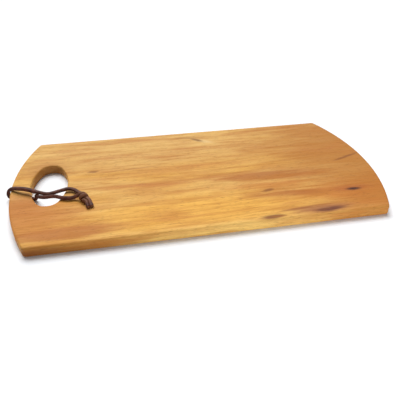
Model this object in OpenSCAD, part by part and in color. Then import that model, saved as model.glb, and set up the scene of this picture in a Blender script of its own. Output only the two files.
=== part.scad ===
// Serving board with an oval grip hole and a knotted leather hanging lace.
// X runs along the board with the grip hole at the -X end, Y runs across it, and it rests on Z = 0.

/* [Board] */
// Overall length, between the crowns of the two bowed ends
board_length = 460; // [380:1:560]
// Overall width, between the straight long sides
board_width = 230; // [180:1:280]
// Thickness of the plank
board_thickness = 12.5; // [10:0.5:20]
// How far each end bows out past its corners
end_bow = 25.5; // [16:0.5:34]
// Radius of the eased edges round the outside
edge_round = 2.5; // [1:0.1:3.5]

/* [Grip hole] */
// Length of the oval hole, across the board
grip_length = 92; // [84:1:110]
// Width of the oval hole, along the board
grip_width = 44; // [38:1:50]
// Radius of the oval's two tight ends
grip_end_radius = 14; // [10:0.5:16]
// Wood left between the hole and the end of the board
grip_rim = 23; // [18:0.5:28]
// How far the hole's centre lies behind the board's centre line
grip_offset = 5; // [0:0.5:12]
// Radius of the eased edges of the hole
grip_round = 2; // [1:0.1:3.5]

/* [Lace] */
// Diameter of the leather lace
lace_d = 4; // [3:0.1:4.2]
// Diameter of the knot
knot_d = 9.6; // [8.6:0.1:10]
// Length of the knot along its strands
knot_length = 9; // [7:0.5:10]
// Width of the channel under the rim that takes the lace
channel_width = 5; // [4.8:0.1:6]
// Depth of that channel
channel_depth = 4.9; // [4.7:0.1:6]

/* [Hidden] */
$fn = 96;

// Overrun of every cut past the face that it opens
overrun = 1;
// Clearance between the lace and the wood that it lies on
lace_clearance = 0.2;
// Gap between the lace in its channel and the table under the board
lace_table_gap = 0.3;
// Gap between the swinging loop of the lace and the stretch round the rim
lace_swing_gap = 0.02;
// Sides of the lace's tube
lace_sides = 8;

// Angle by which each cut along an arc laps past the arc's end
lap_angle = 6;
// Width of the strip of wood beside a cut that shapes its eased edges, as a share of their radius
kept_strip_share = 4;

// Radius of the end arcs, from their bow and the board's width
end_radius = (board_width * board_width / 4 + end_bow * end_bow) / (2 * end_bow);
// Half the angle of the cut past each end, which takes in both corners
end_angle = asin(board_width / 2 / end_radius) + lap_angle;
// How far that cut reaches from the arc's centre
end_reach = norm([end_radius + 2 * overrun, board_width / 2]);
// Place of the grip hole's centre
grip_x = grip_rim + grip_width / 2 - board_length / 2;
// Distance of the tight ends' centres from the hole's centre
grip_end_y = grip_length / 2 - grip_end_radius;
// Radius of the oval's two long sides, so that they run smoothly into its ends
grip_side_radius = (pow(grip_width / 2, 2) + pow(grip_end_y, 2) - pow(grip_end_radius, 2))
    / (grip_width - 2 * grip_end_radius);
// Distance of the long sides' centres from the hole's centre
grip_side_x = grip_side_radius - grip_width / 2;
// Half the angle that each long side turns through
grip_side_angle = atan2(grip_end_y, grip_side_x);
// Share of the hole's width by which the cuts of its two long sides lap each other
grip_lap_share = 1 / 8;

// Height of the lace's middle where it lies on the board
lace_top_z = board_thickness + lace_clearance + lace_d / 2;
// Height of the lace's middle where it lies in the channel
lace_low_z = lace_d / 2 + lace_table_gap;
// The end of the board that the lace goes round
rim_x = -board_length / 2;

// Where the channel opens in the end of the board, and where it opens in the grip hole
channel_end_y = -1.5;
channel_grip_y = -8;
channel_start = [rim_x, channel_end_y];
channel_end = [rim_x + grip_rim, channel_grip_y];
channel_run = channel_end - channel_start;
channel_angle = atan2(channel_run[1], channel_run[0]);
channel_overrun = 3 * channel_width;

// Middle of the knot, and the way that the lace runs through it
knot_angle = -58;
knot_from_end = 87;
knot_y = -38;
knot_place = [rim_x + knot_from_end, knot_y, board_thickness + lace_clearance + knot_d / 2];
knot_along = [cos(knot_angle), sin(knot_angle), 0];
knot_across = [-sin(knot_angle), cos(knot_angle), 0];
// Distance between the middles of the two strands in the knot
knot_strand_gap = lace_d + lace_clearance;
// Gap between the strands' ends and the knot's flat ends
knot_seat_gap = 0.02;
// Share of the knot's diameter at its flat ends
knot_end_share = 0.84;

// Lace routes, each a list of points along the middle of the lace. A point is its distance from the end of
// the board, its place across the board, and its height: 0 in the channel under the rim, 1 on the board.
rim_turn_route = [
    [30.3, -17.2, 1.3],
    [25.3, -14, 1.3],
    [18, -10, 1.3],
    [10.9, -6.6, 1.24],
    [2.9, -1.8, 1.07],
    [0.8, -0.9, 0.98],
    [-0.7, -0.9, 0.9],
    [-1.8, -1.1, 0.79],
    [-3.2, -1.3, 0.45],
    [-2.6, -1.3, 0.12],
    [-1, -1.4, 0.03],
    [1, -1.8, 0],
    [23.5, -8.2, 0],
    [28.8, -10.6, 0.05],
    [30.1, -12.2, 0.24],
    [31.4, -15.9, 0.74],
    [32.8, -19.2, 0.93],
    [35, -24.2, 1],
    [38, -25.4, 1]
];
back_strand_route = [
    [30.3, -17.2, 1.3],
    [35.3, -20.4, 1.3],
    [43.9, -22, 1.12],
    [48.3, -21.5, 1.08],
    [52.8, -20.1, 1.08],
    [62.3, -16.8, 1.1],
    [67.8, -15.2, 1.1],
    [72.8, -16.3, 1.1],
    [76.7, -19.6, 1.12],
    [80.2, -25.1, 1.16]
];
front_strand_route = [
    [38, -25.4, 1],
    [41, -26.6, 1],
    [52.5, -26.5, 1],
    [57.1, -29, 1.03],
    [62.1, -32.2, 1.05],
    [72.1, -34.9, 1.06],
    [76, -34.3, 1.08]
];
back_tail_route = [
    [95, -49.5, 1.06],
    [96.4, -54.8, 1]
];
front_tail_route = [
    [91, -51.2, 1.06],
    [92.3, -56.2, 1]
];

wood = "#C88B4A";
leather = "#522E23";

// A flat strip's cross-section with eased corners, centred on X and standing on the X axis
module eased_strip(width, height, round_radius) {
    translate([-width / 2 + round_radius, 0])
        square([width - 2 * round_radius, height]);
    translate([-width / 2, round_radius])
        square([width, height - 2 * round_radius]);
    for (x = [round_radius - width / 2, width / 2 - round_radius])
        for (y = [round_radius, height - round_radius])
            translate([x, y])
                circle(r = round_radius);
}

// What is cut away along one arc of a wall, from near to far of the arc's centre.
// The wood that is left has eased edges: kept is the middle of a strip of it beside the wall.
module arc_cut(near, far, kept, round_radius, start_angle, turn) {
    rotate_extrude(angle = turn, start = start_angle)
        difference() {
            translate([near, -overrun])
                square([far - near, board_thickness + 2 * overrun]);
            translate([kept, 0])
                eased_strip(kept_strip_share * round_radius, board_thickness, round_radius);
        }
}

// What is cut away past one bowed end: side is -1 for the grip end and 1 for the other
module end_cut(side) {
    middle = side > 0 ? 0 : 180;
    kept = end_radius - kept_strip_share * edge_round / 2;
    translate([side * (board_length / 2 - end_radius), 0, 0])
        arc_cut(end_radius - edge_round, end_reach, kept, edge_round, middle - end_angle, 2 * end_angle);
}

// The plank with its straight sides and its two bowed ends, before the hole and the channel are cut
module plank() {
    difference() {
        rotate([90, 0, 90])
            linear_extrude(height = board_length + 2 * overrun, center = true)
                eased_strip(board_width, board_thickness, edge_round);
        end_cut(-1);
        end_cut(1);
    }
}

// What is cut away for one arc of the grip hole's wall, from inner out to the wall and its eased edges
module grip_wall_cut(inner, wall, start_angle, turn) {
    kept = wall + kept_strip_share * grip_round / 2;
    arc_cut(inner, wall + grip_round, kept, grip_round, start_angle, turn);
}

// The oval grip hole: two tight ends and two long sides, each a part of a circle
module grip_cut() {
    grip_end_start = grip_side_angle - lap_angle;
    translate([grip_x, grip_offset, 0]) {
        for (side = [0, 1])
            rotate([0, 0, side * 180]) {
                translate([0, grip_end_y, 0])
                    grip_wall_cut(0, grip_end_radius, grip_end_start, 180 - 2 * grip_end_start);
                translate([-grip_side_x, 0, 0])
                    grip_wall_cut(
                        grip_side_x - grip_width * grip_lap_share,
                        grip_side_radius,
                        -grip_side_angle,
                        2 * grip_side_angle
                    );
            }
    }
}

// The channel under the rim that lets the board lie flat on its lace
module channel_cut() {
    roof_radius = channel_width / 2;
    cut_length = norm(channel_run) + 2 * channel_overrun;
    translate([channel_start[0], channel_start[1], 0])
        rotate([0, 0, channel_angle])
            translate([-channel_overrun, 0, 0]) {
                translate([0, -roof_radius, -overrun])
                    cube([cut_length, channel_width, channel_depth - roof_radius + overrun]);
                translate([0, 0, channel_depth - roof_radius])
                    rotate([0, 90, 0])
                        cylinder(r = roof_radius, h = cut_length);
            }
}

module board() {
    color(wood)
        difference() {
            plank();
            grip_cut();
            channel_cut();
        }
}

function unit(v) = v / norm(v);

// A route's points in the part's own frame
function placed(route) = [
    for (p = route)
        [rim_x + p[0], p[1], lace_low_z + p[2] * (lace_top_z - lace_low_z)]
];

// The way a route runs at one of its points
function heading(route, i) =
    i == 0 ? unit(route[1] - route[0])
    : i == len(route) - 1 ? unit(route[i] - route[i - 1])
    : unit(unit(route[i] - route[i - 1]) + unit(route[i + 1] - route[i]));

// The same route with its first point moved on by a gap
function set_back(route, gap) = [
    for (i = [0 : len(route) - 1])
        i == 0 ? route[0] + gap * heading(route, 0) : route[i]
];

// One vector square to the route at each point, carried along so that the tube doesn't twist
function carried(route, i, last) =
    i == len(route) ? []
    : let (along = heading(route, i), here = unit(last - (last * along) * along))
        concat([here], carried(route, i + 1, here));

// A tube of the lace's diameter along a route
module lace_tube(route) {
    ups = carried(route, 0, [0, 0, 1]);
    turn = 360 / lace_sides;
    points = [
        for (i = [0 : len(route) - 1])
            let (up = ups[i], side = cross(heading(route, i), up))
                for (k = [0 : lace_sides - 1])
                    route[i] + (lace_d / 2) * (cos(turn * (k + 1 / 2)) * up + sin(turn * (k + 1 / 2)) * side)
    ];
    last = (len(route) - 1) * lace_sides;
    walls = [
        for (i = [0 : len(route) - 2])
            for (k = [0 : lace_sides - 1])
                let (a = i * lace_sides + k, b = i * lace_sides + (k + 1) % lace_sides)
                    each [[a, a + lace_sides, b], [b, a + lace_sides, b + lace_sides]]
    ];
    first_end = [
        for (k = [1 : lace_sides - 2])
            [0, k, k + 1]
    ];
    last_end = [
        for (k = [1 : lace_sides - 2])
            [last, last + k + 1, last + k]
    ];
    polyhedron(points, concat(walls, first_end, last_end));
}

// Where a strand meets the knot: end is -1 on the loop's side and 1 on the tails' side,
// and side is 1 for the back strand and -1 for the front one
function knot_point(end, side) =
    knot_place
    + end * (knot_length / 2 + knot_seat_gap) * knot_along
    + side * (knot_strand_gap / 2) * knot_across;

// The same place moved away from the knot, so that a strand leaves it squarely
function knot_lead(end, side) = knot_point(end, side) + end * lace_d * knot_along;

module lace_rim_turn() {
    color(leather)
        lace_tube(placed(rim_turn_route));
}

module lace_back_strand() {
    loop = set_back(placed(back_strand_route), lace_swing_gap);
    color(leather)
        lace_tube(concat(loop, [knot_lead(-1, 1), knot_point(-1, 1)]));
}

module lace_front_strand() {
    loop = set_back(placed(front_strand_route), lace_swing_gap);
    color(leather)
        lace_tube(concat(loop, [knot_lead(-1, -1), knot_point(-1, -1)]));
}

// The knot as a barrel, with flat ends where the strands and the tails meet it
module lace_knot() {
    belly = knot_d / 2;
    swell = belly * (1 - knot_end_share);
    stave_radius = (pow(knot_length / 2, 2) + pow(swell, 2)) / (2 * swell);
    color(leather)
        translate(knot_place)
            rotate([0, 90, knot_angle])
                rotate_extrude()
                    intersection() {
                        translate([0, -knot_length / 2])
                            square([knot_d, knot_length]);
                        translate([belly - stave_radius, 0])
                            circle(r = stave_radius);
                    }
}

module lace_back_tail() {
    color(leather)
        lace_tube(concat([knot_point(1, 1), knot_lead(1, 1)], placed(back_tail_route)));
}

module lace_front_tail() {
    color(leather)
        lace_tube(concat([knot_point(1, -1), knot_lead(1, -1)], placed(front_tail_route)));
}

board();
lace_rim_turn();
lace_back_strand();
lace_front_strand();
lace_knot();
lace_back_tail();
lace_front_tail();
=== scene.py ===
"""Looks of the serving board: an oiled acacia plank with a grip hole, and its leather hanging lace."""
import logging
import math
from dataclasses import dataclass
from enum import Enum
from typing import Any

import bpy
from mathutils import Matrix, Vector


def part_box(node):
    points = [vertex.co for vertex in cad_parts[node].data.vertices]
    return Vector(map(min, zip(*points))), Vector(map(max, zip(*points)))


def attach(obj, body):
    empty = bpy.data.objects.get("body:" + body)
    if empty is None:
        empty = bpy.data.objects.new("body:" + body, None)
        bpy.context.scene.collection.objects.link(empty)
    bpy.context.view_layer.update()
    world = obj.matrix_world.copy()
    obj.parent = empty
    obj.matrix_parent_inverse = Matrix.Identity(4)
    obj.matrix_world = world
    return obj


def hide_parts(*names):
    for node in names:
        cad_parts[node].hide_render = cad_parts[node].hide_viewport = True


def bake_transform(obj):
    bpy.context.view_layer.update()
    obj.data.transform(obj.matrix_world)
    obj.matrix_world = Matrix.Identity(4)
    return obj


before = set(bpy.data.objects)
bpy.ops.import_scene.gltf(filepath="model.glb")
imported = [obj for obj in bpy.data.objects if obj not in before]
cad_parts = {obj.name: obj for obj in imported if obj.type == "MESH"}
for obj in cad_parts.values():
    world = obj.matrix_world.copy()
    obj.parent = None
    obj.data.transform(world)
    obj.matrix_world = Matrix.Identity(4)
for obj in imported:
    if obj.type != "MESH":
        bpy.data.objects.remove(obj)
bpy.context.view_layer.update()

MM = 0.001
log = logging.getLogger("serving_board")

Colour = tuple[float, float, float, float]
Point = tuple[float, float, float]
Tree = bpy.types.NodeTree
Socket = bpy.types.NodeSocket


class Body(Enum):
    """Bodies of the frame that the pieces ride on."""

    BOARD = "board"
    LOOP = "lace_loop"


class Slot(Enum):
    """Material slots of the record."""

    WOOD = "wood"
    LEATHER = "leather"


def linear(colour: str) -> Colour:
    """Turns an sRGB hex colour to linear light.

    Args:
        colour: Six hex digits after a hash sign.

    Returns:
        Linear red, green, blue and an alpha of one.
    """
    shares = [int(colour[i:i + 2], 16) / 255 for i in (1, 3, 5)]
    lit = [s / 12.92 if s <= 0.04045 else ((s + 0.055) / 1.055) ** 2.4 for s in shares]
    return (lit[0], lit[1], lit[2], 1.0)


def add_node(tree: Tree, kind: str, inputs: dict | None = None, **settings: Any) -> bpy.types.Node:
    """Adds one node to a tree with its settings, and fills or links its inputs.

    Args:
        tree: The tree that gets the node.
        kind: Blender's name for the kind of node.
        inputs: Values, or sockets to link from, by the input's name or number. A list joins several links.
        settings: Properties of the node.

    Returns:
        The new node.
    """
    node = tree.nodes.new(kind)
    for name, value in settings.items():
        setattr(node, name, value)
    for key, value in (inputs or {}).items():
        for source in value if isinstance(value, list) else [value]:
            if isinstance(source, Socket):
                tree.links.new(source, node.inputs[key])
            else:
                node.inputs[key].default_value = source
    return node


def mixed(tree: Tree, share: Socket, first: Any, second: Any) -> Socket:
    """Adds a mix of two colours, with the second's share, and gives the mixed colour."""
    return add_node(tree, "ShaderNodeMix", {0: share, 6: first, 7: second}, data_type="RGBA").outputs[2]


def new_material(name: str) -> tuple[bpy.types.Material, Tree]:
    """Makes an empty node material.

    Args:
        name: Name of the real material.

    Returns:
        The material and its node tree.
    """
    material = bpy.data.materials.new(name)
    material.use_nodes = True
    material.node_tree.nodes.clear()
    return material, material.node_tree


def show_object(name: str, mesh: bpy.types.Mesh) -> bpy.types.Object:
    """Puts a mesh in the scene as an object at the origin."""
    obj = bpy.data.objects.new(name, mesh)
    bpy.context.scene.collection.objects.link(obj)
    return obj


# Finishes


@dataclass(frozen=True)
class Streak:
    """A streak, band or knot in the wood, or a patch of painted light or shade: a long soft lens along the
    grain, in millimetres and degrees.
    """

    place: Point
    half_length: float
    half_width: float
    half_depth: float
    colour: str
    strength: float
    tilt: float = 0.0
    fray: float = 1.0


@dataclass(frozen=True)
class Grain:
    """A layer of grain: its marks' length and width in millimetres, octaves, and shift in marks."""

    length: float
    width: float
    detail: float
    start: float


@dataclass(frozen=True)
class Wash:
    """A colour laid on the wood: a layer's values where it starts and is full, and its full share."""

    colour: str
    low: float
    high: float
    strength: float


@dataclass(frozen=True)
class OiledAcacia:
    """Acacia plank, planed, sanded and oiled.

    It gives the eye a warm honey ground, growth rings cut lengthwise into soft wandering bands, red-brown
    streaks, a few dark knots, short fine pores, and a satin gloss that follows the fibres. Some streaks are
    partly painted light and shade, on the front edge and on the grip hole's back wall. Sizes are in
    millimetres.
    """

    honey: str = "#D69F49"
    pale: str = "#E6BA6B"
    pale_range: tuple[float, float] = (0.35, 0.65)
    late_wood: Wash = Wash("#B2732D", 0.15, 0.60, 0.32)
    red_blotch: Wash = Wash("#B56E31", 0.48, 0.75, 0.40)
    red_flame: Wash = Wash("#B56E31", 0.45, 0.75, 0.52)
    late_band: Wash = Wash("#B2732D", 0.45, 0.75, 0.50)
    fibre_line: Wash = Wash("#A8692A", 0.45, 0.82, 0.55)
    pit: Wash = Wash("#70401F", 0.0, 1.0, 0.45)
    pit_range: tuple[float, float] = (0.60, 0.72)
    gloss_range: tuple[float, float] = (0.3, 0.7)
    roughness: tuple[float, float] = (0.50, 0.66)
    # A streak's value is 1 in its middle and 0 at its rim, and its colour is full from this value on
    streak_full: float = 0.7
    # The fibres wander by the drift's reach over its length and width
    drift: tuple[float, float] = (230.0, 70.0)
    drift_reach: float = 15.0
    # Middle of the trunk, under the plank and behind its middle line, and the thickness of a year's growth
    pith: Point = (0.0, 46.0, -70.0)
    ring: float = 17.0
    broad: Grain = Grain(200.0, 30.0, 2.0, 3.0)
    blotch: Grain = Grain(70.0, 32.0, 2.0, 5.0)
    flame: Grain = Grain(105.0, 12.0, 3.0, 7.0)
    band: Grain = Grain(60.0, 5.5, 3.0, 11.0)
    fibre: Grain = Grain(30.0, 2.0, 3.0, 23.0)
    # Real pores are about 0.2 mm wide, and are drawn coarser so that they show
    pores: Grain = Grain(7.0, 0.7, 1.0, 37.0)
    streaks: tuple[Streak, ...] = (
        # Paler, greener wood along the back
        Streak((-70, 80, 6), 260, 80, 60, "#DDB46E", 0.7, 0, 0.4),
        # Darker and redder towards the far end
        Streak((255, 30, 6), 230, 210, 80, "#AA6D30", 0.82, 0, 0.4),
        Streak((225, -88, 6), 150, 62, 60, "#AC621F", 0.75, 0, 0.5),
        # Golden band along the front
        Streak((-10, -80, 6), 200, 46, 40, "#E8AF4D", 0.85, 0, 0.5),
        # Pale sapwood on the front edge, and painted light: it brightens the front face about its middle and
        # towards the far end
        Streak((5, -117, 4), 130, 14, 14, "#F0C874", 0.95, 0, 0.4),
        # Dark heartwood and painted shade along the near half of the front edge
        Streak((-215, -118, 4), 175, 13, 16, "#7C3F1C", 0.95, 0, 0.4),
        # Red-brown bands through the middle
        Streak((88, -25, 12), 110, 17, 20, "#A5632D", 0.85, -5),
        Streak((-80, -19, 12), 80, 8, 12, "#BD7A3C", 0.7, -3),
        Streak((0, 15, 12), 130, 12, 12, "#CB8E48", 0.5, 2),
        # Brown streaks on the front half
        Streak((150, -74, 10), 80, 20, 14, "#B86A2A", 0.65, -3, 0.8),
        Streak((95, -68, 12), 75, 11, 14, "#A5602A", 0.8, -4),
        Streak((-172, -95, 12), 105, 17, 20, "#B06C36", 0.85, 1),
        Streak((-205, -62, 8), 95, 46, 24, "#BC7230", 0.8, 0, 0.4),
        Streak((80, -46, 10), 75, 14, 14, "#BE7631", 0.6, -4),
        # Painted shade: darker orange-brown round the back of the grip hole, which darkens the hole's back
        # wall
        Streak((-190, 40, 5), 48, 42, 16, "#A0612F", 0.7, 0, 0.6),
        # Darker orange-brown on the rim at the grip end, below and in front of the lace
        Streak((-212, -30, 8), 55, 30, 20, "#B8733A", 0.7, 0, 0.5),
    )
    # Dark streaks, knots and flecks, over the figure
    marks: tuple[Streak, ...] = (
        Streak((126, -105, 12), 52, 11, 8, "#8E5138", 0.75, 4, 1.2),
        Streak((134, -108, 12), 27, 6, 8, "#5C3128", 0.9, 5, 1.3),
        Streak((98, -101, 12), 34, 3.4, 8, "#8A5230", 0.7, 5, 1.2),
        Streak((64, -111, 12), 20, 6, 8, "#6E3E28", 0.85, 3, 1.2),
        Streak((178, -70, 12), 34, 9, 8, "#A3572A", 0.6, 2),
        Streak((180, -72, 12), 14, 4.6, 8, "#3A1E18", 1.0, 0, 0.5),
        Streak((24, 84, 12), 20, 7, 8, "#E9C98C", 0.7, -30, 0.8),
        Streak((15, 90, 12), 15, 5.0, 8, "#7D5528", 0.85, -40, 0.9),
        Streak((2, 99, 12), 26, 3.4, 8, "#9C6E38", 0.6, -8),
        Streak((-132, 24, 12), 10, 3.6, 8, "#8E5F2E", 0.8, 0, 0.8),
        Streak((-80, 23, 12), 60, 2.2, 8, "#A66F38", 0.6, 5, 1.2),
        Streak((76, -58, 12), 11, 4.0, 8, "#7E4C25", 0.8, 10, 0.8),
        Streak((207, 3, 12), 32, 3.6, 8, "#7E4926", 0.75, 23, 1.2),
    )

    def grain(self, tree: Tree, flow: Socket, layer: Grain) -> Socket:
        """Adds one layer of grain: noise stretched along the board.

        Args:
            tree: The material's tree.
            flow: Place on the board, bent with the fibres.
            layer: The layer's sizes.

        Returns:
            The layer's value, from 0 to 1 about a middle of one half.
        """
        along, across = (1 / (side * MM) for side in (layer.length, layer.width))
        laid = add_node(tree, "ShaderNodeMapping",
                        {"Vector": flow, "Location": (layer.start, layer.start, layer.start),
                         "Scale": (along, across, across)})
        noise = add_node(tree, "ShaderNodeTexNoise",
                         {"Vector": laid.outputs[0], "Scale": 1.0, "Detail": layer.detail, "Roughness": 0.55})
        return noise.outputs["Fac"]

    def bent_place(self, tree: Tree) -> Socket:
        """Adds the place on the board, bent as the fibres wander from side to side.

        Args:
            tree: The material's tree.

        Returns:
            The bent place, in metres.
        """
        place = add_node(tree, "ShaderNodeTexCoord").outputs["Object"]
        along, across = (1 / (side * MM) for side in self.drift)
        laid = add_node(tree, "ShaderNodeMapping", {"Vector": place, "Scale": (along, across, across)})
        drift = add_node(tree, "ShaderNodeTexNoise", {"Vector": laid.outputs[0], "Scale": 1.0, "Detail": 1.5})
        reach = self.drift_reach * MM
        moved = add_node(tree, "ShaderNodeVectorMath",
                         {0: drift.outputs["Color"], 1: (0, reach, reach), 2: (0, -reach / 2, -reach / 2)},
                         operation="MULTIPLY_ADD")
        bent = add_node(tree, "ShaderNodeVectorMath", {0: place, 1: moved.outputs[0]}, operation="ADD")
        return bent.outputs[0]

    def rings(self, tree: Tree, flow: Socket) -> Socket:
        """Adds the growth rings round the trunk's middle, each darkening slowly and ending sharply.

        Args:
            tree: The material's tree.
            flow: Place on the board, bent with the fibres.

        Returns:
            The rings' value, from 0 to 1.
        """
        # At a scale of one, Blender's rings are this far apart
        wave_period = math.tau / 20
        centred = add_node(tree, "ShaderNodeMapping",
                           {"Vector": flow, "Location": tuple(-side * MM for side in self.pith)})
        wave = add_node(tree, "ShaderNodeTexWave",
                        {"Vector": centred.outputs[0], "Scale": wave_period / (self.ring * MM),
                         "Distortion": 3.5, "Detail": 2.0, "Detail Scale": 0.5},
                        wave_type="RINGS", rings_direction="X", wave_profile="SAW")
        return wave.outputs["Fac"]

    def laid_over(self, tree: Tree, ground: Socket, wash: Wash, share: Socket) -> Socket:
        """Lays a colour over the ground where a layer's value is high.

        Args:
            tree: The material's tree.
            ground: Colour under it.
            wash: The colour, and how it is laid.
            share: The layer's value.

        Returns:
            The mixed colour.
        """
        amount = add_node(tree, "ShaderNodeMapRange",
                          {"Value": share, "From Min": wash.low, "From Max": wash.high,
                           "To Max": wash.strength},
                          interpolation_type="SMOOTHSTEP")
        return mixed(tree, amount.outputs[0], ground, linear(wash.colour))

    def streaked(self, tree: Tree, flow: Socket, band: Socket, ground: Socket, streak: Streak) -> Socket:
        """Lays one streak over the ground, frayed by the finer grain.

        Args:
            tree: The material's tree.
            flow: Place on the board, bent with the fibres.
            band: Value of the layer that frays it.
            ground: Colour under the streak.
            streak: The streak.

        Returns:
            The colour with the streak on it.
        """
        halves = (streak.half_length, streak.half_width, streak.half_depth)
        lens = add_node(tree, "ShaderNodeMapping",
                        {"Vector": flow, "Location": tuple(side * MM for side in streak.place),
                         "Rotation": (0, 0, math.radians(streak.tilt)),
                         "Scale": tuple(half * MM for half in halves)},
                        vector_type="TEXTURE")
        within = add_node(tree, "ShaderNodeTexGradient", {"Vector": lens.outputs[0]},
                          gradient_type="SPHERICAL")
        fray = add_node(tree, "ShaderNodeMath", {0: band, 1: 2 * streak.fray, 2: 1 - streak.fray},
                        operation="MULTIPLY_ADD")
        torn = add_node(tree, "ShaderNodeMath", {0: within.outputs["Fac"], 1: fray.outputs[0]},
                        operation="MULTIPLY")
        wash = Wash(streak.colour, 0.0, self.streak_full, streak.strength)
        return self.laid_over(tree, ground, wash, torn.outputs[0])

    def material(self) -> bpy.types.Material:
        """Makes the wood from Object coordinates, so that the figure runs through the plank to its edges.

        Returns:
            The material.
        """
        material, tree = new_material("oiled_acacia")
        flow = self.bent_place(tree)
        rings = self.rings(tree, flow)
        broad, blotch, flame, band, fibre, pores = (
            self.grain(tree, flow, layer)
            for layer in (self.broad, self.blotch, self.flame, self.band, self.fibre, self.pores))

        low, high = self.pale_range
        paleness = add_node(tree, "ShaderNodeMapRange", {"Value": broad, "From Min": low, "From Max": high})
        ground = mixed(tree, paleness.outputs[0], linear(self.honey), linear(self.pale))
        for streak in self.streaks:
            ground = self.streaked(tree, flow, band, ground, streak)
        late = add_node(tree, "ShaderNodeMath", {0: rings, 1: broad}, operation="MULTIPLY")
        ground = self.laid_over(tree, ground, self.late_wood, late.outputs[0])
        ground = self.laid_over(tree, ground, self.red_blotch, blotch)
        ground = self.laid_over(tree, ground, self.red_flame, flame)
        ground = self.laid_over(tree, ground, self.late_band, band)
        for mark in self.marks:
            ground = self.streaked(tree, flow, fibre, ground, mark)
        ground = self.laid_over(tree, ground, self.fibre_line, fibre)
        low, high = self.pit_range
        pitted = add_node(tree, "ShaderNodeMapRange", {"Value": pores, "From Min": low, "From Max": high})
        ground = self.laid_over(tree, ground, self.pit, pitted.outputs[0])

        low, high = self.gloss_range
        gloss = add_node(tree, "ShaderNodeMapRange",
                         {"Value": fibre, "From Min": low, "From Max": high, "To Min": self.roughness[0],
                          "To Max": self.roughness[1]})
        relief = add_node(tree, "ShaderNodeMath", {0: fibre, 1: pitted.outputs[0]}, operation="SUBTRACT")
        bump = add_node(tree, "ShaderNodeBump",
                        {"Height": relief.outputs[0], "Strength": 0.2, "Distance": 0.2 * MM})
        wood = add_node(tree, "ShaderNodeBsdfPrincipled",
                        {"Base Color": ground, "Roughness": gloss.outputs[0], "IOR": 1.47,
                         "Specular IOR Level": 0.12, "Normal": bump.outputs[0]})
        add_node(tree, "ShaderNodeOutputMaterial", {"Surface": wood.outputs[0]})
        return material


@dataclass(frozen=True)
class WaxedLeather:
    """Leather lace, cut round, dyed dark brown and waxed.

    It gives the eye a dark brown with a soft waxy glint, lengthwise creases and rubbed high spots, and its
    paler raw leather shows where it was cut and where the knot is handled.
    """

    dye: str = "#42231A"
    rubbed: str = "#6E3F2F"
    raw: str = "#8C6146"
    roughness: tuple[float, float] = (0.50, 0.66)
    crease: tuple[float, float] = (6.0, 0.7)
    mottle: float = 5.0
    rest_place: str = "lace_rest_place"
    worn_share: str = "lace_worn_share"

    def material(self) -> bpy.types.Material:
        """Makes the leather on the lace's own straightened place, so that its creases follow its bends.

        Returns:
            The material.
        """
        material, tree = new_material("waxed_leather")
        rest = add_node(tree, "ShaderNodeAttribute", attribute_name=self.rest_place)
        worn = add_node(tree, "ShaderNodeAttribute", attribute_name=self.worn_share)
        along, across = (1 / (side * MM) for side in self.crease)
        laid = add_node(tree, "ShaderNodeMapping",
                        {"Vector": rest.outputs["Vector"], "Scale": (along, across, across)})
        crease = add_node(tree, "ShaderNodeTexNoise",
                          {"Vector": laid.outputs[0], "Scale": 1.0, "Detail": 3.0})
        mottle = add_node(tree, "ShaderNodeTexNoise",
                          {"Vector": rest.outputs["Vector"], "Scale": 1 / (self.mottle * MM), "Detail": 2.0})
        patches = add_node(tree, "ShaderNodeMapRange",
                           {"Value": mottle.outputs["Fac"], "From Min": 0.40, "From Max": 0.75,
                            "To Max": 0.8})
        dyed = mixed(tree, patches.outputs[0], linear(self.dye), linear(self.rubbed))
        aged = mixed(tree, worn.outputs["Fac"], dyed, linear(self.raw))
        gloss = add_node(tree, "ShaderNodeMapRange",
                         {"Value": crease.outputs["Fac"], "From Min": 0.3, "From Max": 0.7,
                          "To Min": self.roughness[0], "To Max": self.roughness[1]})
        bump = add_node(tree, "ShaderNodeBump",
                        {"Height": crease.outputs["Fac"], "Strength": 0.5, "Distance": 0.2 * MM})
        leather = add_node(tree, "ShaderNodeBsdfPrincipled",
                           {"Base Color": aged, "Roughness": gloss.outputs[0], "IOR": 1.5,
                            "Specular IOR Level": 0.15, "Normal": bump.outputs[0]})
        add_node(tree, "ShaderNodeOutputMaterial", {"Surface": leather.outputs[0]})
        return material


@dataclass(frozen=True)
class StudioCard:
    """Matt white card under the board, which shows as white and keeps part of the shadow."""

    card: str = "#F8FBFF"
    glow_share: float = 0.04

    def material(self) -> bpy.types.Material:
        """Makes the card: plain for the light that it throws back, partly self-lit for the eye.

        Returns:
            The material.
        """
        material, tree = new_material("white_card")
        seen = add_seen_share(tree)
        card = add_node(tree, "ShaderNodeBsdfDiffuse", {"Color": linear(self.card)})
        glow = add_node(tree, "ShaderNodeEmission", {"Color": (1, 1, 1, 1), "Strength": 1.0})
        share = add_node(tree, "ShaderNodeMath", {0: seen, 1: self.glow_share}, operation="MULTIPLY")
        shown = add_node(tree, "ShaderNodeMixShader",
                         {0: share.outputs[0], 1: card.outputs[0], 2: glow.outputs[0]})
        add_node(tree, "ShaderNodeOutputMaterial", {"Surface": shown.outputs[0]})
        return material


def add_seen_share(tree: Tree) -> Socket:
    """Adds a switch for rays that show the background: straight to the eye, in a gloss or through glass.

    Args:
        tree: The tree of the floor's material or of the world.

    Returns:
        One on such rays, zero on the others.
    """
    path = add_node(tree, "ShaderNodeLightPath")
    gloss = add_node(tree, "ShaderNodeMath",
                     {0: path.outputs["Is Camera Ray"], 1: path.outputs["Is Glossy Ray"]},
                     operation="MAXIMUM")
    either = add_node(tree, "ShaderNodeMath",
                      {0: gloss.outputs[0], 1: path.outputs["Is Transmission Ray"]}, operation="MAXIMUM")
    return either.outputs[0]


# Stage


@dataclass(frozen=True)
class SoftBox:
    """A square studio lamp: its place and aim in metres, its side in metres and its power in watts."""

    name: str
    place: Point
    aim: Point
    side: float
    power: float


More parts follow.
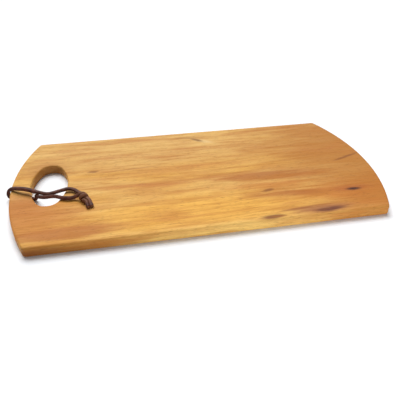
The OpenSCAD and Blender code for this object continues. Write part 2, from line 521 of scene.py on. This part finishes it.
@dataclass(frozen=True)
class SkyLamp:
    """A wide, far lamp that lights board and floor evenly: where it stands, its spread and its strength."""

    name: str
    azimuth: float
    elevation: float
    spread: float
    strength: float


@dataclass
class Studio:
    """Camera, lamps and floor."""

    # The camera's place, and the way that it looks
    camera_place: Point = (-0.09829, -0.49865, 0.31840)
    camera_azimuth: float = 11.496
    camera_elevation: float = 34.506
    camera_roll: float = -0.492
    # Focal length in pixels of a 400-pixel frame, and the sensor that it is turned to
    focal_pixels: float = 460.27
    frame_pixels: float = 400.0
    sensor: float = 36.0
    floor_side: float = 12.0
    daylight: float = 0.11
    key: SkyLamp = SkyLamp("key_lamp", -8.0, 56.0, 52.0, 3.75)
    fill: SoftBox = SoftBox("fill_lamp", (0.17, -0.54, 0.09), (0.02, -0.115, 0.006), 0.16, 1.22)

    def build(self) -> None:
        """Makes the camera, the lamps, the world and the floor."""
        self.add_camera()
        self.add_lamps()
        self.light_world()
        self.add_floor()
        bpy.context.scene.view_settings.view_transform = "Standard"

    def add_camera(self) -> None:
        """Makes the camera at the photograph's view."""
        turn, tip, roll = (math.radians(a) for a in
                           (self.camera_azimuth, self.camera_elevation, self.camera_roll))
        ahead = Vector((math.sin(turn) * math.cos(tip), math.cos(turn) * math.cos(tip), -math.sin(tip)))
        side = Vector((math.cos(turn), -math.sin(turn), 0.0))
        down = ahead.cross(side)
        right = math.cos(roll) * side + math.sin(roll) * down
        up = math.sin(roll) * side - math.cos(roll) * down
        lens = bpy.data.cameras.new("photo_camera")
        lens.sensor_width = self.sensor
        lens.lens = self.focal_pixels / self.frame_pixels * self.sensor
        lens.clip_start = 0.01
        camera = bpy.data.objects.new("photo_camera", lens)
        axes = Matrix((right, up, -ahead)).transposed().to_4x4()
        camera.matrix_world = Matrix.Translation(self.camera_place) @ axes
        bpy.context.scene.collection.objects.link(camera)
        bpy.context.scene.camera = camera

    def add_lamps(self) -> None:
        """Makes the wide lamp behind the board and the soft box in front of it."""
        light = bpy.data.lights.new(self.key.name, "SUN")
        light.energy = self.key.strength
        light.angle = math.radians(self.key.spread)
        turn, tip = math.radians(self.key.azimuth), math.radians(self.key.elevation)
        towards = Vector((math.sin(turn) * math.cos(tip), math.cos(turn) * math.cos(tip), math.sin(tip)))
        self.hang_lamp(light, towards, Vector())
        light = bpy.data.lights.new(self.fill.name, "AREA")
        light.energy = self.fill.power
        light.size = self.fill.side
        self.hang_lamp(light, Vector(self.fill.place), Vector(self.fill.aim))

    def hang_lamp(self, light: bpy.types.Light, place: Vector, aim: Vector) -> None:
        """Puts a lamp at its place and points it at its aim."""
        lamp = bpy.data.objects.new(light.name, light)
        lamp.location = place
        lamp.rotation_euler = (aim - place).to_track_quat("-Z", "Y").to_euler()
        bpy.context.scene.collection.objects.link(lamp)

    def light_world(self) -> None:
        """Makes a white world that lights the board softly from all round."""
        world = bpy.data.worlds.new("white_room")
        world.use_nodes = True
        tree = world.node_tree
        tree.nodes.clear()
        level = add_node(tree, "ShaderNodeMapRange", {"Value": add_seen_share(tree), "To Min": self.daylight})
        room = add_node(tree, "ShaderNodeBackground", {"Color": (1, 1, 1, 1), "Strength": level.outputs[0]})
        add_node(tree, "ShaderNodeOutputWorld", {"Surface": room.outputs[0]})
        bpy.context.scene.world = world

    def add_floor(self) -> None:
        """Makes the floor that the board lies on."""
        half = self.floor_side / 2
        mesh = bpy.data.meshes.new("floor")
        mesh.from_pydata([(-half, -half, 0), (half, -half, 0), (half, half, 0), (-half, half, 0)], [],
                         [(0, 1, 2, 3)])
        floor = show_object("floor", mesh)
        mesh.materials.append(StudioCard().material())


# Hanging lace


@dataclass
class HangingLace:
    """One leather lace, round the board's end and up through the grip hole, tied in a knot of both strands.

    A route's point is its distance from the end of the board and its place across the board, in millimetres,
    and its height: 0 in the channel under the rim, 1 on the board.
    """

    width: float = 4.4
    thickness: float = 3.7
    low_z: float = 2.5
    top_z: float = 14.7
    rim_turn: tuple[Point, ...] = (
        (30.3, -17.2, 1.3), (25.3, -14, 1.3), (18, -10, 1.3), (10.9, -6.6, 1.24), (2.9, -1.8, 1.07),
        (0.8, -0.9, 0.98), (-0.7, -0.9, 0.9), (-1.8, -1.1, 0.79), (-3.2, -1.3, 0.45), (-2.6, -1.3, 0.12),
        (-1, -1.4, 0.03), (1, -1.8, 0), (23.5, -8.2, 0), (28.8, -10.6, 0.05), (30.1, -12.2, 0.24),
        (31.4, -15.9, 0.74), (32.8, -19.2, 0.93), (35, -24.2, 1), (38, -25.4, 1),
    )
    back_strand: tuple[Point, ...] = (
        (35.3, -20.4, 1.3), (43.9, -22, 1.12), (48.3, -21.5, 1.08), (52.8, -20.1, 1.08), (62.3, -16.8, 1.1),
        (67.8, -15.2, 1.1), (72.8, -16.3, 1.1), (76.7, -19.6, 1.12), (80.2, -25.1, 1.16),
    )
    front_strand: tuple[Point, ...] = (
        (41, -26.6, 1), (52.5, -26.5, 1), (57.1, -29, 1.03), (62.1, -32.2, 1.05), (72.1, -34.9, 1.06),
        (76, -34.3, 1.08),
    )
    back_tail: tuple[Point, ...] = ((95, -49.5, 1.06), (96.4, -54.8, 1))
    front_tail: tuple[Point, ...] = ((91, -51.2, 1.06), (92.3, -56.2, 1))
    # The lace is broader over the rim, along the first points of its turn
    over_rim_points: int = 4
    over_rim_girth: float = 1.2
    # The knot: its middle, the way that the strands run through it, and the turns round them
    knot_from_end: float = 87.0
    knot_y: float = -38.0
    knot_z: float = 17.2
    knot_angle: float = -58.0
    turn_across: float = 3.6
    turn_height: float = 3.5
    turn_pitch: float = 3.4
    turn_count: float = 1.75
    points_per_turn: int = 12
    turn_start: float = 90.0
    turn_run_out: float = 2.4
    knot_girth: float = 0.92
    knot_wear: float = 0.5
    # The back strand's way through the knot, along and across it, and where the front strand comes out
    core: tuple[tuple[float, float], ...] = (
        (8.5, 2.1), (4.5, 1.7), (1.5, 0.9), (-1.5, 0.7), (-4.5, 1.4), (-8.5, 2.1),
    )
    way_out: Point = (8.5, -2.1, -0.6)
    # The lace's section, its cut ends as a share of it, and its rings
    cut_end: float = 0.86
    sides: int = 20
    ring_gap: float = 0.5
    squareness: float = 3.0
    smoothing: int = 10
    nodes: tuple[str, ...] = ("lace_rim_turn", "lace_back_strand", "lace_front_strand", "lace_knot",
                              "lace_back_tail", "lace_front_tail")
    # Where the lace leaves the board's own stretch, and where the loop's stretch starts; nothing reads them
    bend_start_x: float = -204.0
    bend_end_x: float = -190.0

    def placed(self, route: tuple[Point, ...]) -> list[Vector]:
        """Turns a route's points to places in metres."""
        end_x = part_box("board")[0].x
        rise = self.top_z - self.low_z
        return [Vector((end_x + d * MM, y * MM, (self.low_z + share * rise) * MM)) for d, y, share in route]

    def knot_place(self, along: float, across: float, up: float) -> Vector:
        """Gives a place in the knot, in metres, from its own axes in millimetres."""
        turn = math.radians(self.knot_angle)
        ahead = Vector((math.cos(turn), math.sin(turn), 0))
        side = Vector((-math.sin(turn), math.cos(turn), 0))
        middle = Vector((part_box("board")[0].x + self.knot_from_end * MM, self.knot_y * MM, self.knot_z * MM))
        return middle + (ahead * along + side * across + Vector((0, 0, up))) * MM

    def wrapped_turns(self) -> list[Vector]:
        """Lays the turns that the front strand takes round both strands, from over the top to underneath.

        Returns:
            Places along the turns, in metres.
        """
        steps = round(self.turn_count * self.points_per_turn)
        half = self.turn_pitch * self.turn_count / 2
        places = []
        for step in range(steps + 1):
            share = step / steps
            angle = math.radians(self.turn_start) - share * self.turn_count * math.tau
            along = (2 * share - 1) * half + self.turn_run_out * share ** 4
            places.append(self.knot_place(along, self.turn_across * math.cos(angle),
                                          self.turn_height * math.sin(angle)))
        return places

    def route(self) -> tuple[list[Vector], list[float]]:
        """Gives the lace's line from the back tail's tip to the front tail's tip.

        Returns:
            Places in metres, and the lace's girth at each as a share of its own.
        """
        core = [self.knot_place(along, across, 0) for along, across in self.core]
        out = [self.knot_place(*self.way_out)]
        turn = self.placed(self.rim_turn)
        stretches = [
            (self.placed(self.back_tail)[::-1], 1.0), (core, self.knot_girth),
            (self.placed(self.back_strand)[::-1], 1.0), (turn[:self.over_rim_points], self.over_rim_girth),
            (turn[self.over_rim_points:], 1.0),
            (self.placed(self.front_strand), 1.0), (self.wrapped_turns(), self.knot_girth),
            (out, self.knot_girth), (self.placed(self.front_tail), 1.0),
        ]
        places = [place for stretch, _ in stretches for place in stretch]
        girths = [girth for stretch, girth in stretches for _ in stretch]
        return places, girths

    def smooth_line(self) -> tuple[list[Vector], list[float]]:
        """Runs one smooth curve through the route's points, with a place every ring gap.

        Returns:
            Places in metres, and the girth at each.
        """
        places, girths = self.route()
        line, girth = [], []
        last = len(places) - 1
        for i in range(last):
            four = [places[max(i - 1, 0)], places[i], places[i + 1], places[min(i + 2, last)]]
            knots = [0.0]
            for a, b in zip(four, four[1:]):
                knots.append(knots[-1] + max((b - a).length, 0.1 * MM) ** 0.5)
            steps = max(2, round((four[2] - four[1]).length / (self.ring_gap * MM)))
            for step in range(steps):
                share = step / steps
                line.append(between_points(four, knots, knots[1] + share * (knots[2] - knots[1])))
                girth.append(girths[i] + share * (girths[i + 1] - girths[i]))
        line.append(places[last])
        girth.append(girths[last])
        for _ in range(self.smoothing):
            line = evened(line)
            girth = evened(girth)
        return line, girth

    def section(self, angle: float) -> tuple[float, float]:
        """Gives a point of the lace's rounded section, in metres, at an angle round it."""
        c, s = math.cos(angle), math.sin(angle)
        reach = MM / 2 / (abs(c) ** self.squareness + abs(s) ** self.squareness) ** (1 / self.squareness)
        return reach * c * self.width, reach * s * self.thickness

    def build(self) -> bpy.types.Object:
        """Returns:
            The lace.
        """
        line, girth = self.smooth_line()
        verts: list[Vector] = []
        rest: list[Vector] = []
        worn: list[float] = []
        up = Vector((0, 0, 1))
        along = 0.0
        count = len(line)
        for i, place in enumerate(line):
            heading = (line[min(i + 1, count - 1)] - line[max(i - 1, 0)]).normalized()
            up = (up - heading * up.dot(heading)).normalized()
            side = heading.cross(up)
            along += (place - line[i - 1]).length if i else 0.0
            narrow = self.cut_end if i in (0, count - 1) else 1.0
            for j in range(self.sides):
                a, b = (v * girth[i] * narrow for v in self.section(math.tau * j / self.sides))
                verts.append(place + side * a + up * b)
                rest.append(Vector((along, a, b)))
                worn.append(self.knot_wear * max(0.0, (1 - girth[i]) / (1 - self.knot_girth)))
        faces = [[i * self.sides + j, i * self.sides + (j + 1) % self.sides,
                  (i + 1) * self.sides + (j + 1) % self.sides, (i + 1) * self.sides + j]
                 for i in range(count - 1) for j in range(self.sides)]
        for i in (0, count - 1):
            middle = len(verts)
            verts.append(line[i])
            rest.append(Vector((0.0 if i == 0 else along, 0, 0)))
            worn.append(1.0)
            ring = [i * self.sides + j for j in range(self.sides)]
            for j in range(self.sides):
                pair = (ring[j], ring[(j + 1) % self.sides])
                faces.append([middle, *(pair[::-1] if i == 0 else pair)])
        mesh = bpy.data.meshes.new("hanging_lace")
        mesh.from_pydata(verts, [], faces)
        mesh.polygons.foreach_set("use_smooth", [True] * len(mesh.polygons))
        finish = WaxedLeather()
        mesh.attributes.new(finish.rest_place, "FLOAT_VECTOR", "POINT").data.foreach_set(
            "vector", [c for place in rest for c in place])
        mesh.attributes.new(finish.worn_share, "FLOAT", "POINT").data.foreach_set("value", worn)
        mesh.materials.append(finish.material())
        lace = show_object("hanging_lace", mesh)
        self.declare(lace)
        return lace

    def declare(self, lace: bpy.types.Object) -> None:
        """Bakes the lace's place into its mesh, and hides the solids that it stands in for.

        Args:
            lace: The lace's tube.
        """
        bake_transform(lace)
        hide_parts(*self.nodes)


def evened(row: list) -> list:
    """Evens out a row of places or girths once, and keeps its two ends."""
    return [row[0]] + [(a + 2 * b + c) / 4 for a, b, c in zip(row, row[1:], row[2:])] + [row[-1]]


def between_points(four: list[Vector], knots: list[float], t: float) -> Vector:
    """Gives a place between the middle two of four points, on the curve through them.

    Args:
        four: The four points.
        knots: The curve's parameter at each.
        t: The parameter wanted.

    Returns:
        The place.
    """
    level = list(four)
    for span in (1, 2, 3):
        first = span - 2 if span == 3 else 0
        ends = [(first + i, first + i + (1 if span == 3 else span)) for i in range(len(level) - 1)]
        level = [a.lerp(b, (t - knots[i]) / (knots[j] - knots[i]))
                 for a, b, (i, j) in zip(level, level[1:], ends)]
    return level[0]


# Board


@dataclass
class ServingBoard:
    """The plank: straight sides, bowed ends, eased edges, an oval grip hole and the lace's channel under it.

    Sizes are in millimetres. Length, width and thickness come from the frame.
    """

    end_bow: float = 25.5
    edge_round: float = 2.5
    corner_round: float = 5.0
    grip_length: float = 92.0
    grip_width: float = 44.0
    grip_end_radius: float = 14.0
    grip_rim: float = 23.0
    grip_offset: float = 5.0
    grip_round: float = 2.0
    # Flat strip kept between an eased edge and the face, so that the face shades flat
    flat_strip: float = 1.0
    channel_width: float = 5.0
    channel_depth: float = 4.9
    channel_end_y: float = -1.5
    channel_grip_y: float = -8.0
    # Points along the arcs of the outline, of the grip hole and of an eased edge
    end_points: int = 57
    grip_points: int = 29
    round_points: int = 7
    corner_mark: str = "corner"
    weld: float = 0.005
    crease_angle: float = 35.0

    def sizes(self) -> dict[str, float | Vector]:
        """Works out the tree's inputs from the board's box and sizes.

        Returns:
            Lengths in metres, angles in radians and places in metres, by the input's name.
        """
        low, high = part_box("board")
        length, width, thickness = high - low
        bow = self.end_bow * MM
        end_radius = (width ** 2 / 4 + bow ** 2) / (2 * bow)
        end_angle = math.asin(width / 2 / end_radius)
        half_length, half_width = self.grip_length / 2, self.grip_width / 2
        end_y = half_length - self.grip_end_radius
        side_radius = (half_width ** 2 + end_y ** 2 - self.grip_end_radius ** 2) / (
            self.grip_width - 2 * self.grip_end_radius)
        side_angle = math.atan2(end_y, side_radius - half_width)
        start = Vector((low.x, self.channel_end_y * MM, low.z))
        stop = Vector((low.x + self.grip_rim * MM, self.channel_grip_y * MM, low.z))
        overrun = (stop - start) / 2
        return {
            "Thickness": thickness,
            "Wall Drop": -thickness,
            "End Radius": end_radius,
            "End Place": Vector((length / 2 - end_radius, 0, 0)),
            "End Start": -end_angle,
            "End Sweep": 2 * end_angle,
            "Corner Round": self.corner_round * MM,
            "Edge Round": self.edge_round * MM,
            "Edge Strip": -(self.edge_round + self.flat_strip) * MM,
            "Grip Place": Vector((low.x + (self.grip_rim + half_width) * MM, self.grip_offset * MM, 0)),
            "Grip Side Radius": side_radius * MM,
            "Grip Side Place": Vector(((half_width - side_radius) * MM, 0, 0)),
            "Grip Side Start": -side_angle,
            "Grip Side Sweep": 2 * side_angle,
            "Grip End Radius": self.grip_end_radius * MM,
            "Grip End Place": Vector((0, end_y * MM, 0)),
            "Grip End Start": side_angle,
            "Grip End Sweep": math.pi - 2 * side_angle,
            "Grip Round": self.grip_round * MM,
            "Grip Strip": -(self.grip_round + self.flat_strip) * MM,
            "Channel Width": self.channel_width * MM,
            "Channel Height": 2 * self.channel_depth * MM,
            "Channel Round": self.channel_width / 2 * MM,
            "Channel Start": start - overrun,
            "Channel End": stop + overrun,
        }

    def arc(self, tree: Tree, given: Any, name: str, points: int) -> list[Socket]:
        """Adds an arc and its twin across the middle of the outline.

        Args:
            tree: The board's tree.
            given: Outputs of the tree's inputs.
            name: First words of the arc's inputs.
            points: Points along the arc.

        Returns:
            The two arcs.
        """
        arc = add_node(tree, "GeometryNodeCurveArc",
                       {"Resolution": points, "Radius": given[f"{name} Radius"],
                        "Start Angle": given[f"{name} Start"], "Sweep Angle": given[f"{name} Sweep"]})
        ends = add_node(tree, "GeometryNodeCurveEndpointSelection")
        marked = add_node(tree, "GeometryNodeStoreNamedAttribute",
                          {"Geometry": arc.outputs[0], "Name": self.corner_mark, "Value": ends.outputs[0]},
                          data_type="FLOAT", domain="POINT")
        placed = add_node(tree, "GeometryNodeTransform",
                          {"Geometry": marked.outputs[0], "Translation": given[f"{name} Place"]})
        twin = add_node(tree, "GeometryNodeTransform",
                        {"Geometry": placed.outputs[0], "Rotation": (0, 0, math.pi)})
        return [placed.outputs[0], twin.outputs[0]]

    def ring(self, tree: Tree, arcs: list[Socket]) -> Socket:
        """Adds one closed ring through the points of several arcs, in the order of their bearing.

        Args:
            tree: The board's tree.
            arcs: The arcs round the middle.

        Returns:
            The closed curve.
        """
        joined = add_node(tree, "GeometryNodeJoinGeometry", {0: arcs})
        points = add_node(tree, "GeometryNodeCurveToPoints", {"Curve": joined.outputs[0]}, mode="EVALUATED")
        welded = add_node(tree, "GeometryNodeMergeByDistance",
                          {"Geometry": points.outputs["Points"], "Distance": self.weld * MM})
        place = add_node(tree, "GeometryNodeInputPosition")
        parts = add_node(tree, "ShaderNodeSeparateXYZ", {0: place.outputs[0]})
        bearing = add_node(tree, "ShaderNodeMath", {0: parts.outputs["Y"], 1: parts.outputs["X"]},
                           operation="ARCTAN2")
        line = add_node(tree, "GeometryNodePointsToCurves",
                        {"Points": welded.outputs[0], "Weight": bearing.outputs[0]})
        closed = add_node(tree, "GeometryNodeSetSplineCyclic", {"Geometry": line.outputs[0], "Cyclic": True})
        return closed.outputs[0]

    def wall(self, tree: Tree, given: Any, name: str, ring: Socket) -> tuple[Socket, Socket]:
        """Adds the wall along a ring, with its eased edges, and the line where the wall meets a face.

        Args:
            tree: The board's tree.
            given: Outputs of the tree's inputs.
            name: First word of the wall's inputs.
            ring: The closed curve.

        Returns:
            The wall's mesh, and the line.
        """
        upright = add_node(tree, "GeometryNodeSetCurveNormal", {"Curve": ring}, mode="Z_UP")
        strip, drop = given[f"{name} Strip"], given["Wall Drop"]
        corners = [add_node(tree, "ShaderNodeCombineXYZ", {"X": x, "Y": y}).outputs[0]
                   for x, y in ((strip, 0.0), (0.0, 0.0), (0.0, drop), (strip, drop))]
        square = add_node(tree, "GeometryNodeCurvePrimitiveQuadrilateral",
                          {f"Point {i + 1}": corner for i, corner in enumerate(corners)}, mode="POINTS")
        opened = add_node(tree, "GeometryNodeSetSplineCyclic",
                          {"Geometry": square.outputs[0], "Cyclic": False})
        eased = add_node(tree, "GeometryNodeFilletCurve",
                         {"Curve": opened.outputs[0], "Count": self.round_points,
                          "Radius": given[f"{name} Round"]}, mode="POLY")
        swept = add_node(tree, "GeometryNodeCurveToMesh",
                         {"Curve": upright.outputs[0], "Profile Curve": eased.outputs[0]})
        wall = add_node(tree, "GeometryNodeFlipFaces", {"Mesh": swept.outputs[0]})
        facing = add_node(tree, "GeometryNodeInputNormal")
        inward = add_node(tree, "ShaderNodeVectorMath", {0: facing.outputs[0], "Scale": strip},
                          operation="SCALE")
        line = add_node(tree, "GeometryNodeSetPosition",
                        {"Geometry": upright.outputs[0], "Offset": inward.outputs[0]})
        return wall.outputs[0], line.outputs[0]

    def channel(self, tree: Tree, given: Any) -> Socket:
        """Adds the round-topped bar that cuts the lace's channel.

        Args:
            tree: The board's tree.
            given: Outputs of the tree's inputs.

        Returns:
            The bar's mesh.
        """
        line = add_node(tree, "GeometryNodeCurvePrimitiveLine",
                        {"Start": given["Channel Start"], "End": given["Channel End"]})
        upright = add_node(tree, "GeometryNodeSetCurveNormal", {"Curve": line.outputs[0]}, mode="Z_UP")
        bar = add_node(tree, "GeometryNodeCurvePrimitiveQuadrilateral",
                       {"Width": given["Channel Width"], "Height": given["Channel Height"]})
        rounded = add_node(tree, "GeometryNodeFilletCurve",
                           {"Curve": bar.outputs[0], "Count": self.round_points,
                            "Radius": given["Channel Round"], "Limit Radius": True}, mode="POLY")
        cut = add_node(tree, "GeometryNodeCurveToMesh",
                       {"Curve": upright.outputs[0], "Profile Curve": rounded.outputs[0], "Fill Caps": True})
        return cut.outputs[0]

    def tree(self) -> Tree:
        """Makes the tree that shapes the plank from its sizes.

        Returns:
            The tree, with an input for each size and one for the wood.
        """
        tree = bpy.data.node_groups.new("plank_with_grip", "GeometryNodeTree")
        for name, size in self.sizes().items():
            kind = "NodeSocketVector" if isinstance(size, Vector) else "NodeSocketFloat"
            tree.interface.new_socket(name, in_out="INPUT", socket_type=kind)
        tree.interface.new_socket("Wood", in_out="INPUT", socket_type="NodeSocketMaterial")
        tree.interface.new_socket("Plank", in_out="OUTPUT", socket_type="NodeSocketGeometry")
        given = add_node(tree, "NodeGroupInput").outputs

        outline = self.ring(tree, self.arc(tree, given, "End", self.end_points))
        corner = add_node(tree, "GeometryNodeInputNamedAttribute", {"Name": self.corner_mark},
                          data_type="FLOAT")
        turn = add_node(tree, "ShaderNodeMath", {0: corner.outputs[0], 1: given["Corner Round"]},
                        operation="MULTIPLY")
        eased = add_node(tree, "GeometryNodeFilletCurve",
                         {"Curve": outline, "Count": self.round_points, "Radius": turn.outputs[0],
                          "Limit Radius": True}, mode="POLY")
        sides = self.arc(tree, given, "Grip Side", self.grip_points)
        ends = self.arc(tree, given, "Grip End", self.grip_points)
        oval = add_node(tree, "GeometryNodeReverseCurve", {"Curve": self.ring(tree, sides + ends)})
        hole = add_node(tree, "GeometryNodeTransform",
                        {"Geometry": oval.outputs[0], "Translation": given["Grip Place"]})
        edge_wall, edge_line = self.wall(tree, given, "Edge", eased.outputs[0])
        grip_wall, grip_line = self.wall(tree, given, "Grip", hole.outputs[0])

        lines = add_node(tree, "GeometryNodeJoinGeometry", {0: [edge_line, grip_line]})
        face = add_node(tree, "GeometryNodeFillCurve", {"Curve": lines.outputs[0]}, mode="TRIANGLES")
        rise = add_node(tree, "ShaderNodeCombineXYZ", {"Z": given["Thickness"]})
        top = add_node(tree, "GeometryNodeTransform",
                       {"Geometry": face.outputs[0], "Translation": rise.outputs[0]})
        base = add_node(tree, "GeometryNodeFlipFaces", {"Mesh": face.outputs[0]})
        shell = add_node(tree, "GeometryNodeJoinGeometry",
                         {0: [edge_wall, grip_wall, top.outputs[0], base.outputs[0]]})
        closed = add_node(tree, "GeometryNodeMergeByDistance",
                          {"Geometry": shell.outputs[0], "Distance": self.weld * MM})
        grooved = add_node(tree, "GeometryNodeMeshBoolean",
                           {"Mesh 1": closed.outputs[0], "Mesh 2": self.channel(tree, given)},
                           operation="DIFFERENCE", solver="EXACT")
        angle = add_node(tree, "GeometryNodeInputMeshEdgeAngle")
        crease = add_node(tree, "ShaderNodeMath", {0: angle.outputs[0], 1: math.radians(self.crease_angle)},
                          operation="GREATER_THAN")
        smooth = add_node(tree, "GeometryNodeSetShadeSmooth",
                          {"Geometry": grooved.outputs[0], "Shade Smooth": True}, domain="FACE")
        creased = add_node(tree, "GeometryNodeSetShadeSmooth",
                           {"Geometry": smooth.outputs[0], "Selection": crease.outputs[0],
                            "Shade Smooth": False}, domain="EDGE")
        plain = add_node(tree, "GeometryNodeRemoveAttribute",
                         {"Geometry": creased.outputs[0], "Name": self.corner_mark})
        whole = add_node(tree, "GeometryNodeRealizeInstances", {"Geometry": plain.outputs[0]})
        dressed = add_node(tree, "GeometryNodeSetMaterial",
                           {"Geometry": whole.outputs[0], "Material": given["Wood"]})
        add_node(tree, "NodeGroupOutput", {0: dressed.outputs[0]})
        return tree

    def build(self, wood: bpy.types.Material) -> bpy.types.Object:
        """Shapes the plank with its tree, and puts it in place of the board's solid.

        Args:
            wood: The plank's finish.

        Returns:
            The plank.
        """
        blank = show_object("plank_blank", bpy.data.meshes.new("plank_blank"))
        tree = self.tree()
        values = {**self.sizes(), "Wood": wood}
        shaper = blank.modifiers.new("plank_with_grip", "NODES")
        shaper.node_group = tree
        for item in tree.interface.items_tree:
            if item.in_out == "INPUT":
                value = values[item.name]
                shaper[item.identifier] = list(value) if isinstance(value, Vector) else value
        seen = blank.evaluated_get(bpy.context.evaluated_depsgraph_get())
        mesh = bpy.data.meshes.new_from_object(seen)
        mesh.name = "serving_board"
        for number in reversed(range(len(mesh.materials))):
            if mesh.materials[number] is None:
                mesh.materials.pop(index=number)
        bpy.data.objects.remove(blank)
        plank = show_object("serving_board", mesh)
        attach(plank, Body.BOARD.value)
        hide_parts("board")
        return plank


def main() -> None:
    """Builds the stage, the lace and the board in order."""
    logging.basicConfig(level=logging.INFO, format="%(name)s: %(message)s")
    Studio().build()
    log.info("stage: camera, lamps and floor")
    lace = HangingLace().build()
    log.info("%s: %d faces", lace.name, len(lace.data.polygons))
    plank = ServingBoard().build(OiledAcacia().material())
    log.info("%s: %d faces", plank.name, len(plank.data.polygons))


if __name__ == "__main__":
    main()
